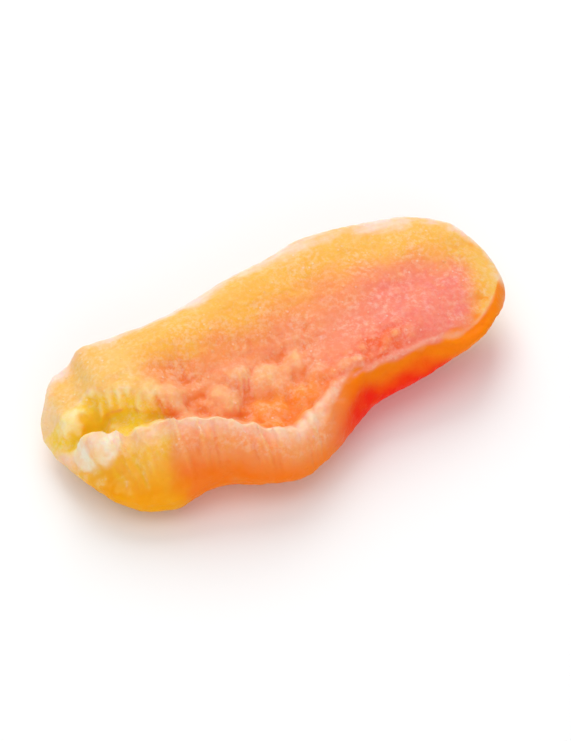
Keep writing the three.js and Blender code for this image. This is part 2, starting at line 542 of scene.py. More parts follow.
@dataclass(frozen=True)
class FleshFinish:
    """Translucent candied flesh: pink at the core, orange to yellow towards the skin, with a sugar bloom,
    painted shade and painted highlights.

    Lengths in millimetres.

    Attributes:
        layers: The colours from the core, at 0, out to the skin, at 1. The palest, at the far rim, are
            partly a painted highlight.
        overlays: The other kinds of flesh, and the painted shade and highlights, from the lowest to the
            topmost.
        middle: The values that most of a noise lies between.
    """

    layers: tuple[tuple[float, Colour], ...] = (
        (0.0, (248, 146, 110)),
        (0.18, (248, 149, 100)),
        (0.38, (251, 156, 84)),
        (0.58, (252, 179, 72)),
        (0.84, (252, 190, 90)),
        # The two palest stops: the far rim's pale flesh with a painted highlight where the back light
        # catches the edge.
        (0.93, (252, 206, 166)),
        (1.0, (252, 220, 206)),
    )
    overlays: tuple[Overlay, ...] = (
        Overlay(Tissue.BLUSH, (243, 132, 116), 0.65, 1.0),
        Overlay(Tissue.CAVITY, (254, 169, 112), 0.65, 0.85, at_tip=(250, 196, 108)),
        Overlay(Tissue.TIP, (250, 196, 108), 0.8, 1.0),
        Overlay(Tissue.LIP, (252, 162, 92), 0.7, 0.95, at_tip=(252, 188, 66)),
        Overlay(Tissue.EDGE, (250, 214, 166), 0.6, 0.9),
        Overlay(Tissue.SKIN, (246, 176, 52), 0.7, 0.9),
        # Painted shade: the near wall's orange, deepened and saturated where the wall faces down, away
        # from the light.
        Overlay(Tissue.WALL_SHADE, (255, 134, 0), 1.0, 1.0),
        # Painted shade: the lip's lower face, darker and more saturated where it turns under.
        Overlay(Tissue.LIP_LOW_SHADE, (248, 122, 10), 0.9, 1.0, at_tip=(246, 164, 0)),
        # Painted shade: the red at the foot of the near wall.
        Overlay(Tissue.DEEP_SHADE, (248, 30, 0), 0.9, 1.0),
        Overlay(Tissue.STRIP, (244, 102, 50), 0.4, 1.0),
        # Painted shade: darker, more saturated colour deep in the hollows, in the trough and in the
        # cavity's right corner.
        Overlay(Tissue.BED_SHADE, (254, 142, 40), 0.7, 0.95, at_tip=(255, 208, 44)),
        # Painted shade: darker orange in the creases between the knobs.
        Overlay(Tissue.CREASE_SHADE, (246, 116, 34), 0.4, 0.65, at_tip=(255, 208, 44)),
        # Painted highlight: paler colour on the raised tops of the knobs and lumps.
        Overlay(Tissue.KNOB_HIGHLIGHT, (255, 192, 136), 0.6, 0.85, at_tip=(254, 230, 176)),
        # Painted highlight: the pale line along the lip's top, the near corner and the top of the trough's
        # bank.
        Overlay(Tissue.CREST_HIGHLIGHT, (254, 210, 182), 0.55, 0.95),
        # Painted highlight: the whitish highlight on the two lobes of the lip's free end.
        Overlay(Tissue.LOBE_HIGHLIGHT, (252, 236, 214), 0.45, 0.95),
    )
    middle: Span = (0.3, 0.7)
    blotch_pitch: float = 5
    blotch_depth: float = 0.07
    fibre_pitch: float = 0.9
    fibre_stretch: float = 4
    fibre_depth: float = 0.03
    patch_pitch: float = 1.6
    patch_range: Span = (0.35, 0.65)
    bloom: Colour = (255, 232, 214)
    bloom_pitch: float = 3.6
    bloom_shares: Span = (0.25, 0.75)
    dust_pitch: float = 0.55
    dust_roughness: float = 0.65
    dust_range: Span = (0.38, 0.72)
    dust_strength: float = 0.45
    crystal_spacing: float = 1.3
    crystal_range: Span = (0.16, 0.07)
    crystal_strength: float = 0.7
    painted_shade_share: float = 0.4
    ridge_pitch: float = 0.5
    ridge_height: float = 0.04
    pore_pitch: float = 0.5
    pore_roughness: float = 0.6
    pore_height: float = 0.14
    crystal_rims: Span = (0.2, 0.07)
    crystal_height: float = 0.05
    gloss_pitch: float = 1.3
    gloss_range: Span = (0.34, 0.56)
    scatter: Triple = (1.0, 0.4, 0.15)
    scatter_reach: float = 1.5

    def colour(self, recipe: Recipe) -> bpy.types.NodeSocket:
        """The flesh's colour, from the core out to the skin, and then over each special tissue and each
        painted shade and highlight.

        Args:
            recipe: The material's recipe.

        Returns:
            The colour.
        """
        blotches = recipe.noise(self.blotch_pitch, detail=3)
        blotches = recipe.ranged(blotches, *self.middle, -self.blotch_depth, self.blotch_depth)
        fibres = recipe.noise(self.fibre_pitch, detail=3, stretch=self.fibre_stretch)
        fibres = recipe.ranged(fibres, *self.middle, -self.fibre_depth, self.fibre_depth)
        depth = recipe.sum(recipe.painted(Tissue.RIND), recipe.sum(blotches, fibres))
        colour = recipe.gradient(depth, self.layers)
        tip = recipe.painted(Tissue.TIP)
        patches = recipe.noise(self.patch_pitch, detail=3)
        for overlay in self.overlays:
            over = linear(overlay.colour)
            if overlay.at_tip:
                over = recipe.blend(tip, over, linear(overlay.at_tip))
            strength = recipe.ranged(patches, *self.patch_range, overlay.faintest, overlay.strongest)
            share = recipe.product(recipe.painted(overlay.tissue), strength)
            colour = recipe.blend(share, colour, over)
        return colour

    def bloomed(self, recipe: Recipe, colour: bpy.types.NodeSocket) -> bpy.types.NodeSocket:
        """Adds the sugar bloom, a pale dust and scattered crystals, except where shade is painted on the
        near wall and under the lip.

        Args:
            recipe: The material's recipe.
            colour: The flesh's own colour.

        Returns:
            The colour with its bloom.
        """
        dust = recipe.noise(self.dust_pitch, detail=3, roughness=self.dust_roughness)
        dust = recipe.ranged(dust, *self.dust_range, 0, self.dust_strength)
        crystals = recipe.cells(self.crystal_spacing)
        crystals = recipe.ranged(crystals, *self.crystal_range, 0, self.crystal_strength)
        thickness = recipe.ranged(recipe.noise(self.bloom_pitch), *self.middle, *self.bloom_shares)
        painted_shade = recipe.larger(recipe.painted(Tissue.WALL_SHADE), recipe.painted(Tissue.LIP_LOW_SHADE))
        open_flesh = recipe.ranged(painted_shade, 0, self.painted_shade_share, 1, 0)
        share = recipe.product(recipe.larger(dust, crystals), thickness)
        return recipe.blend(recipe.product(share, open_flesh), colour, linear(self.bloom))

    def relief(self, recipe: Recipe) -> bpy.types.NodeSocket:
        """The finest relief: ridges along the slice, pores and sugar crystals.

        Args:
            recipe: The material's recipe.

        Returns:
            The bumped normal.
        """
        ridges = recipe.noise(self.ridge_pitch, stretch=self.fibre_stretch)
        pores = recipe.noise(self.pore_pitch, detail=4, roughness=self.pore_roughness)
        crystals = recipe.ranged(recipe.cells(self.crystal_spacing), *self.crystal_rims)
        normal = recipe.bump(ridges, self.ridge_height)
        normal = recipe.bump(pores, self.pore_height, normal)
        return recipe.bump(crystals, self.crystal_height, normal)

    def make(self) -> bpy.types.Material:
        """Builds the material.

        Returns:
            The finished material.
        """
        recipe = Recipe("papaya_flesh")
        gloss = recipe.noise(self.gloss_pitch, detail=3)
        recipe.set(
            Base_Color=self.bloomed(recipe, self.colour(recipe)),
            Roughness=recipe.ranged(gloss, *self.middle, *self.gloss_range),
            Normal=self.relief(recipe),
            IOR=1.42,
            Specular_IOR_Level=0.14,
            Subsurface_Weight=0.8,
            Subsurface_Radius=self.scatter,
            Subsurface_Scale=self.scatter_reach * MM,
        )
        return recipe.material


@dataclass(frozen=True)
class FloorFinish:
    """A matt, near-white surface."""

    white: Colour = (247, 247, 247)

    def make(self) -> bpy.types.Material:
        """Builds the material.

        Returns:
            The finished material.
        """
        recipe = Recipe("pale_floor")
        recipe.set(Base_Color=linear(self.white), Roughness=0.7)
        return recipe.material


# ---------------------------------------------------------------------------------------------------
# Places on the slice


@dataclass
class Lie:
    """Where each point of the slice lies, and how it faces. Lengths in millimetres.

    The crest is the line along the slice where the cut face meets the near side. On the left it is the top
    of the lip, and on the right it is the cut face's near corner.

    Attributes:
        points: The places along, across and up.
        normals: The outward directions.
        bins: How many parts the slice's length is measured in.
        near_half: How far across the crest is looked for, as a share.
        leans: How far the slice leans to the near side when its crest is looked for, left and right.
        lean_grows: Where along the slice the lean grows from the left one to the right one.
        calming: How many bins on either side a bin's value is calmed with.
        share: The place across, from 0 at the near side to 1 at the far rim.
        from_end: How far the point is from the nearer end.
        from_far: How far the point is from the far rim.
        over_crest: How far the point is above the crest, which is less than 0 on the near side.
        behind_crest: How far the point is behind the crest, towards the far rim.
        crest_gap: How far the point is from the crest.
    """

    points: np.ndarray
    normals: np.ndarray
    bins: int = 110
    near_half: float = 0.45
    leans: Span = (0.15, 0.9)
    lean_grows: Span = (0.0, 9.0)
    calming: int = 3
    share: np.ndarray = field(init=False)
    from_end: np.ndarray = field(init=False)
    from_far: np.ndarray = field(init=False)
    over_crest: np.ndarray = field(init=False)
    behind_crest: np.ndarray = field(init=False)
    crest_gap: np.ndarray = field(init=False)

    def __post_init__(self) -> None:
        """Measures the points against the slice's edges and its crest."""
        self.from_end = np.minimum(self.along - self.along.min(), self.along.max() - self.along)
        edges = np.linspace(self.along.min(), self.along.max(), self.bins + 1)
        belongs = np.clip(np.digitize(self.along, edges) - 1, 0, self.bins - 1)
        members = [np.flatnonzero(belongs == index) for index in range(self.bins)]
        middles = (edges[1:] + edges[:-1]) / 2
        near = self.traced([self.across[group].min() for group in members], middles)
        far = self.traced([self.across[group].max() for group in members], middles)
        self.share = (self.across - near) / (far - near)
        self.from_far = far - self.across
        upright, leaning = self.leans
        lean = upright + (leaning - upright) * rise(self.along, *self.lean_grows)
        rank = np.where(self.share < self.near_half, self.up - lean * self.across, -np.inf)
        tops = [group[rank[group].argmax()] for group in members]
        self.over_crest = self.up - self.traced(self.up[tops], middles)
        self.behind_crest = self.across - self.traced(self.across[tops], middles)
        self.crest_gap = np.hypot(self.behind_crest, self.over_crest)

    @property
    def along(self) -> np.ndarray:
        """The places along the slice."""
        return self.points[:, ALONG]

    @property
    def across(self) -> np.ndarray:
        """The places across the slice."""
        return self.points[:, ACROSS]

    @property
    def up(self) -> np.ndarray:
        """The heights."""
        return self.points[:, UP]

    @property
    def facing_up(self) -> np.ndarray:
        """How far each point faces up, from -1 to 1."""
        return self.normals[:, UP]

    @property
    def facing_near(self) -> np.ndarray:
        """How far each point faces the near side, from -1 to 1."""
        return -self.normals[:, ACROSS]

    def traced(self, values: Sequence[float], middles: np.ndarray) -> np.ndarray:
        """Gives each point the value of a line along the slice, calmed first.

        Args:
            values: The line's values, one for each bin.
            middles: Where the bins' middles are along the slice.

        Returns:
            One value for each point.
        """
        window = np.hanning(2 * self.calming + 3)[1:-1]
        padded = np.pad(np.asarray(values, float), self.calming, mode="edge")
        calm = np.convolve(padded, window / window.sum(), mode="valid")
        return np.interp(self.along, middles, calm)


@dataclass(frozen=True)
class Region:
    """A part of the slice's surface with soft borders.

    A border is a pair of values of the measure that it is named after: where the region has faded out, and
    where it is in full. A measure without a border doesn't limit the region.

    Attributes:
        starts: The border along the slice where the region starts.
        ends: The border along the slice where it ends.
    """

    starts: Span | None = None
    ends: Span | None = None
    across: Span | None = None
    up: Span | None = None
    share: Span | None = None
    facing_up: Span | None = None
    facing_near: Span | None = None
    over_crest: Span | None = None
    behind_crest: Span | None = None
    crest_gap: Span | None = None

    def of(self, lie: Lie) -> np.ndarray:
        """The region's share at each point, from 0 outside it to 1 inside.

        Args:
            lie: Where the points lie.

        Returns:
            A share for each point, from 0 to 1.
        """
        borders = (
            (lie.along, self.starts),
            (lie.along, self.ends),
            (lie.across, self.across),
            (lie.up, self.up),
            (lie.share, self.share),
            (lie.facing_up, self.facing_up),
            (lie.facing_near, self.facing_near),
            (lie.over_crest, self.over_crest),
            (lie.behind_crest, self.behind_crest),
            (lie.crest_gap, self.crest_gap),
        )
        return math.prod(rise(values, *border) for values, border in borders if border)


# ---------------------------------------------------------------------------------------------------
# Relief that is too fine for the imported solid. Lengths in millimetres, and each kind gives how far
# every point stands out.


@dataclass(frozen=True)
class Lumps:
    """Packed round lumps, with creases between them where the flesh has crumpled."""

    region: Region
    height: float
    domes: Domes
    folds: Folds | None = None
    folding: float = 0.3

    def heights(self, lie: Lie) -> np.ndarray:
        """How far the lumps stand out.

        Args:
            lie: Where the points lie.

        Returns:
            One value for each point.
        """
        pattern = self.domes.at(lie.points)
        if self.folds:
            pattern = pattern + self.folding * self.folds.at(lie.points)
        return self.height * self.region.of(lie) * pattern


@dataclass(frozen=True)
class Humps:
    """The row of round humps along the top of the lip."""

    region: Region = Region(ends=(5, 1), crest_gap=(2.2, 0.55))
    height: float = 0.2
    pitch: float = 1.55
    drift: Grain = Grain((5.0, 50.0, 50.0), seed=6.1, strength=0.7)
    roundness: float = 0.7
    sinking: float = 0.5

    def heights(self, lie: Lie) -> np.ndarray:
        """How far the humps stand out, and the gaps between them sink in.

        Args:
            lie: Where the points lie.

        Returns:
            One value for each point.
        """
        turns = (lie.along + self.drift.at(lie.points)) / self.pitch
        row = np.abs(np.sin(math.pi * turns)) ** self.roundness - self.sinking
        return self.height * self.region.of(lie) * row


@dataclass(frozen=True)
class Flutes:
    """The faint upright ribs on the lip's face."""

    region: Region = Region(ends=(4, -3), facing_near=(0.2, 0.6), over_crest=(-7, -2))
    height: float = 0.1
    pitch: float = 1.25
    drift: Grain = Grain((3.0, 6.0, 9.0), seed=4.4, strength=0.9)

    def heights(self, lie: Lie) -> np.ndarray:
        """How far the ribs stand out."""
        turns = (lie.along + self.drift.at(lie.points)) / self.pitch
        return self.height * self.region.of(lie) * np.sin(math.tau * turns)


@dataclass(frozen=True)
class Dip:
    """The low stretch of the lip's top, left of its middle."""

    region: Region = Region(starts=(-25, -21), ends=(-2, -8), crest_gap=(3.6, 0.6))
    depth: float = 0.7

    def heights(self, lie: Lie) -> np.ndarray:
        """How far the lip's top is sunk in."""
        return -self.depth * self.region.of(lie)


@dataclass(frozen=True)
class Mound:
    """The broad side of the cavity's biggest knob."""

    place: Triple = (-4.9, -1.5, 8.7)
    reach: float = 2.8
    height: float = 0.6

    def heights(self, lie: Lie) -> np.ndarray:
        """How far the mound stands out."""
        gap = np.linalg.norm(lie.points - self.place, axis=1) / self.reach
        return self.height * np.maximum(1 - gap ** 2, 0)


@dataclass(frozen=True)
class NearCorner:
    """The raised corner between the cut face and the near side, right of the lip."""

    region: Region = Region(starts=(3, 9), ends=(28, 23), crest_gap=(4.5, 2.5))
    foot: Region = Region(over_crest=(-0.8, -2.2))
    height: float = 0.2
    width: float = 0.7
    undercut: float = 0.7

    def heights(self, lie: Lie) -> np.ndarray:
        """How far the corner stands out, and its foot sinks in."""
        ridge = rise(lie.crest_gap, self.width, 0) - self.undercut * self.foot.of(lie)
        return self.height * self.region.of(lie) * ridge


@dataclass(frozen=True)
class Lobes:
    """The two round lobes on the lip's free end."""

    places: tuple[Triple, Triple] = ((-26.3, -3.1, 6.7), (-24.4, -4.8, 8.8))
    reach: float = 2.1
    height: float = 0.34

    def gap(self, lie: Lie) -> np.ndarray:
        """How far each point is from the nearer lobe's middle, in reaches of a lobe."""
        gaps = [np.linalg.norm(lie.points - place, axis=1) for place in self.places]
        return np.minimum(*gaps) / self.reach

    def heights(self, lie: Lie) -> np.ndarray:
        """How far the lobes stand out."""
        return self.height * np.sqrt(np.maximum(1 - self.gap(lie) ** 2, 0))


@dataclass(frozen=True)
class Wrinkles:
    """The long wrinkles and the peel-like unevenness all over, each layer finer than the last."""

    layers: tuple[Grain, ...] = (
        Grain((6.0, 1.6, 1.6), seed=8.3, strength=0.08),
        Grain((2.2, 0.9, 0.9), seed=2.7, strength=0.04),
        Grain((0.9, 0.8, 0.8), seed=5.9, strength=0.045),
        Grain((0.45, 0.45, 0.45), seed=1.3, strength=0.0225),
    )

    def heights(self, lie: Lie) -> np.ndarray:
        """How far the wrinkles stand out."""
        return sum(layer.at(lie.points) for layer in self.layers)


@dataclass(frozen=True)
class Relief:
    """All the relief on one slice.

    Attributes:
        nodules: The rounded knobs where the seeds sat.
        pips: The small bumps along the near corner, right of the cavity.
        crumple: The crumpled flesh of the cavity's open end.
        calm_end: How far from an end the relief fades in.
    """

    nodules: Lumps = Lumps(
        Region(
            starts=(-20, -15), ends=(8, 2), share=(0.6, 0.45), facing_up=(0.2, 0.6), behind_crest=(0.8, 2),
        ),
        height=0.24,
        domes=Domes(pitch=2.2, seed=3.1),
    )
    pips: Lumps = Lumps(
        Region(
            starts=(0, 4), ends=(19, 14), share=(0.34, 0.2), facing_up=(0.3, 0.7), behind_crest=(0.4, 1.2),
        ),
        height=0.34,
        domes=Domes(pitch=1.6, seed=7.7),
    )
    crumple: Lumps = Lumps(
        Region(ends=(-13, -19), share=(0.74, 0.66), facing_up=(-0.1, 0.3), behind_crest=(0.6, 1.6)),
        height=0.32,
        domes=Domes(pitch=2.0, seed=1.7, pace=(0.7, 1, 0.5)),
        folds=Folds(pitch=2.0, seed=9.2),
    )
    humps: Humps = Humps()
    flutes: Flutes = Flutes()
    dip: Dip = Dip()
    mound: Mound = Mound()
    corner: NearCorner = NearCorner()
    lobes: Lobes = Lobes()
    wrinkles: Wrinkles = Wrinkles()
    calm_end: Span = (0.4, 2.6)

    def calm(self, lie: Lie) -> np.ndarray:
        """The relief's share at each point, which is 0 at the slice's very ends."""
        return rise(lie.from_end, *self.calm_end)

    def heights(self, lie: Lie) -> np.ndarray:
        """How far each point stands out.

        Args:
            lie: Where the points lie.

        Returns:
            One value for each point.
        """
        kinds = (
            self.nodules, self.pips, self.crumple, self.humps, self.flutes, self.dip, self.mound,
            self.corner, self.lobes, self.wrinkles,
        )
        return self.calm(lie) * sum(kind.heights(lie) for kind in kinds)


# ---------------------------------------------------------------------------------------------------
# The slice


@dataclass
class FleshMap:
    """Finds where each kind of flesh, and each painted shade and highlight, is on the finished slice.
    Lengths in millimetres.

    The left half is where the near side curls up as a lip, and the right half is where it is a low wall.

    Attributes:
        lie: Where the points lie.
        out: How far each point stands out from the rounded slice.
        lobe_gap: How far each point is from the nearer of the lip's lobes, in reaches of a lobe.
        waver: How far a border wanders at each point, from about -1 to 1.
        right: The share of each point in the right half.
        left: The share of each point in the left half.
        drop: How far each point is below the crest, wavering.
        behind_lip: The share of each point in the hollow behind the lip.
    """

    lie: Lie
    out: np.ndarray
    lobe_gap: np.ndarray
    wavering: Grain = Grain((2.6, 2.6, 2.6), seed=12.3)
    right_half: Region = Region(starts=(-1, 6))
    top: Region = Region(facing_up=(0.15, 0.5))
    face: Region = Region(facing_near=(0.2, 0.6))
    cut_side: Region = Region(facing_up=(0.15, 0.5), behind_crest=(0.3, 1.2))
    drop_waver: float = 0.4
    waver: np.ndarray = field(init=False)
    right: np.ndarray = field(init=False)
    left: np.ndarray = field(init=False)
    drop: np.ndarray = field(init=False)
    behind_lip: np.ndarray = field(init=False)

    # The core and the rind. The rounded end is an arc, whose middle line bends to the near side.
    rind_thickness: float = 14.0
    arc_start: float = 20
    arc_middle: float = 5
    arc_radius: float = 9.3
    arc_flatness: float = 0.7
    arc_grows: Region = Region(starts=(16, 26))
    arc_steepness: float = 1.8
    blush_region: Region = Region(starts=(5, 16))
    blush_depth: Span = (4.5, 11)
    skin_region: Region = Region(facing_up=(0.05, -0.35))

    # The cavity, whose bed, darkened with painted shade, shows in a hollow on the left and as an ember on
    # the right. The knobs' tops get a painted highlight, and the creases a painted shade.
    cavity_region: Region = Region(share=(0.62, 0.42))
    hollow_region: Region = Region(share=(0.68, 0.6))
    hollow_drop: Span = (2.6, 4.4)
    ember_region: Region = Region(starts=(-8.5, -6), across=(-3.2, -4.8))
    knob_highlight_out: Span = (0.0, 0.3)
    crease_shade_out: Span = (-0.03, -0.25)

    # The trough that runs out at the left end, whose saturated yellow is a painted shade, the painted
    # highlight along its bank's top, and the slice's left tip.
    trough_region: Region = Region(ends=(-13.5, -17), facing_up=(-0.1, 0.2), behind_crest=(0.3, 1.2))
    bank_share: float = 0.66
    bank_middle: float = -23.5
    bank_slopes: Span = (0.012, 0.028)
    bank_waver: float = 0.03
    bank_border: Span = (-0.02, 0.03)
    rim_region: Region = Region(ends=(-15, -18))
    rim_width: float = 0.03
    rim_strength: float = 0.6
    rim_patches: Span = (0, 0.5)
    tip_region: Region = Region(share=(1, 0.75))
    tip_border: Span = (-16, -19.5)
    tip_waver: float = 0.8
    tip_lag: float = 0.9
    edge_region: Region = Region(share=(0.3, 0.6))
    edge_width: Span = (3.2, 1.0)

    # The lip, with painted shade on its lower face, and the painted highlight on the lobes of its free
    # end.
    lip_border: Span = (0.6, -0.4)
    lip_low_shade_drop: Span = (1.1, 5.2)
    lobe_highlight_waver: float = 0.25
    lobe_highlight_border: Span = (1.15, 0.6)

    # The painted highlight along the crest, whose place on the right is a margin that widens towards the
    # rounded end.
    lip_line_width: float = 1.8
    corner_line_width: float = 0.34
    line_waver: float = 0.2
    line_core: float = 1.3
    margin_width: float = 1.7
    margin_grows: Region = Region(starts=(13, 27))
    line_levels: Region = Region(starts=(13, 16))
    line_fading: float = 0.85
    line_recovery: float = 0.25
    line_recovers: Region = Region(starts=(10, 15))
    line_far_end: Region = Region(across=(-2.5, 0.5))
    line_foot: Region = Region(over_crest=(-0.9, -2))

    # The wall under the right half with its painted shade, and the strip of red flesh along its corner,
    # with painted highlights on its knobs.
    strip_region: Region = Region(
        starts=(-2, 2), ends=(18, 12), share=(0.32, 0.18), facing_up=(0.15, 0.5), behind_crest=(0.2, 0.8),
    )
    strip_knob_highlights: float = 0.8
    wall_border: Span = (-0.15, 0.15)
    wall_margin: Span = (0.1, 0.3)
    wall_region: Region = Region(across=(3.0, 0.5))
    wall_drop: Span = (0.0, 0.6)
    deep_shade_drop: Span = (0.5, 3.4)

    def __post_init__(self) -> None:
        """Measures what several kinds of flesh share."""
        self.waver = self.wavering.at(self.lie.points)
        self.right = self.right_half.of(self.lie)
        self.left = 1 - self.right
        self.drop = self.drop_waver * self.waver - self.lie.over_crest
        self.behind_lip = self.cut_side.of(self.lie) * self.left

    def depth(self) -> np.ndarray:
        """How deep each point is in the fruit, from the far rim or the rounded end.

        Returns:
            One value for each point.
        """
        bend = self.arc_flatness * (self.lie.across - self.arc_middle) * self.arc_grows.of(self.lie)
        from_arc = self.arc_radius - np.hypot(np.maximum(self.lie.along - self.arc_start, 0), bend)
        return np.minimum(self.lie.from_far, self.arc_steepness * from_arc)

    def cavity(self) -> np.ndarray:
        """The flesh where the seeds sat."""
        return self.behind_lip * self.cavity_region.of(self.lie)

    def hollow(self) -> np.ndarray:
        """The bottom of the cavity, which is darkened with painted shade."""
        return self.behind_lip * self.hollow_region.of(self.lie) * rise(self.drop, *self.hollow_drop)

    def ember(self) -> np.ndarray:
        """The orange corner at the cavity's right end, which gets the bed's painted shade."""
        return self.behind_lip * self.ember_region.of(self.lie)

    def below_bank(self) -> np.ndarray:
        """How far each point is from the top of the trough's bank, as a share of the slice's width.

        Returns:
            One value for each point, more than 0 on the bank's near side.
        """
        along = self.lie.along
        slope = np.where(along < self.bank_middle, *self.bank_slopes)
        bank_top = self.bank_share - slope * np.abs(along - self.bank_middle)
        return bank_top + self.bank_waver * self.waver - self.lie.share

    def trough(self) -> np.ndarray:
        """The yellow trough, given the bed's painted shade, with painted highlights on its lumps."""
        return self.trough_region.of(self.lie) * rise(self.below_bank(), *self.bank_border)

    def strip(self) -> np.ndarray:
        """The strip of red flesh along the near corner."""
        return self.strip_region.of(self.lie)

    def knobs(self) -> np.ndarray:
        """The painted highlight on the knobs' raised tops, apart from those in the ember."""
        flesh = [self.cavity(), self.strip_knob_highlights * self.strip(), self.trough()]
        return np.maximum.reduce(flesh) * rise(self.out, *self.knob_highlight_out) * (1 - self.ember())

    def tip(self) -> np.ndarray:
        """The slice's yellow left tip, which starts further left behind the lip."""
        lag = self.tip_waver * self.waver - self.tip_lag * self.cut_side.of(self.lie)
        return rise(self.lie.along + lag, *self.tip_border) * self.tip_region.of(self.lie)

    def edge(self) -> np.ndarray:
        """The pale edge round the left end."""
        from_left = self.lie.along - self.lie.along.min()
        return rise(from_left, *self.edge_width) * self.edge_region.of(self.lie)

    def lip(self) -> np.ndarray:
        """The lip's face and its top."""
        return rise(self.lie.behind_crest, *self.lip_border) * self.left

    def lip_low_shade(self) -> np.ndarray:
        """The lower part of the lip's face, whose darker, saturated orange is a painted shade."""
        return self.face.of(self.lie) * rise(self.drop, *self.lip_low_shade_drop) * self.left

    def margin(self) -> np.ndarray:
        """How far the near corner's line is drawn in on the cut face."""
        return self.margin_width * self.margin_grows.of(self.lie)

    def crest(self) -> np.ndarray:
        """The painted highlight along the lip's top and the near corner.

        Returns:
            A share for each point, from 0 to 1.
        """
        lie = self.lie
        level = 1 - self.line_levels.of(lie)
        gap = np.hypot(lie.behind_crest - self.margin(), lie.over_crest * level)
        narrowing = self.corner_line_width + self.line_waver * self.waver - self.lip_line_width
        width = self.lip_line_width + narrowing * self.right
        faded = self.line_fading - self.line_recovery * self.line_recovers.of(lie)
        off_line = np.maximum(self.line_far_end.of(lie), self.line_foot.of(lie))
        strength = (1 - self.right * faded) * (1 - self.right * off_line)
        return np.clip(self.line_core - gap / width, 0, 1) * strength

    def bank_rim_highlight(self) -> np.ndarray:
        """The patchy painted highlight along the top of the trough's bank."""
        rim = rise(np.abs(self.below_bank()), self.rim_width, 0) * self.rim_region.of(self.lie)
        return self.rim_strength * rim * rise(self.waver, *self.rim_patches)

    def wall(self) -> np.ndarray:
        """The near wall, from its foot up to the near corner's line, where its orange is deepened into a
        painted shade.

        Returns:
            A share for each point, from 0 to 1.
        """
        margin = self.margin()
        in_margin = rise(margin - self.lie.behind_crest, *self.wall_border)
        in_margin *= rise(margin, *self.wall_margin) * self.wall_region.of(self.lie)
        rind = np.maximum(self.face.of(self.lie), in_margin)
        return rind * rise(self.drop + margin, *self.wall_drop) * self.right

    def deep(self) -> np.ndarray:
        """The red lower part of the near wall: a painted shade at the wall's foot."""
        return self.face.of(self.lie) * rise(self.drop, *self.deep_shade_drop) * self.right

    def shares(self) -> dict[Tissue, np.ndarray]:
        """Each tissue's share at each point.

        Returns:
            For each kind of flesh and each painted shade and highlight, one value for each point.
        """
        depth = self.depth()
        return {
            Tissue.RIND: 1 - depth / self.rind_thickness,
            Tissue.BLUSH: self.blush_region.of(self.lie) * rise(depth, *self.blush_depth),
            Tissue.SKIN: self.skin_region.of(self.lie),
            Tissue.CAVITY: self.cavity(),
            Tissue.BED_SHADE: np.maximum.reduce([self.hollow(), self.trough(), self.ember()]),
            Tissue.KNOB_HIGHLIGHT: self.knobs(),
            # Painted shade where a point lies in a crease.
            Tissue.CREASE_SHADE: rise(self.out, *self.crease_shade_out) * self.top.of(self.lie),
            Tissue.TIP: self.tip(),
            Tissue.EDGE: self.edge(),
            Tissue.LIP: self.lip(),
            Tissue.LIP_LOW_SHADE: self.lip_low_shade(),
            # Painted highlight on the lobes of the lip's free end.
            Tissue.LOBE_HIGHLIGHT: rise(self.lobe_gap + self.lobe_highlight_waver * self.waver, *self.lobe_highlight_border),
            Tissue.CREST_HIGHLIGHT: np.maximum(self.crest(), self.bank_rim_highlight()),
            Tissue.STRIP: self.strip(),
            Tissue.WALL_SHADE: self.wall(),
            Tissue.DEEP_SHADE: self.deep(),
        }


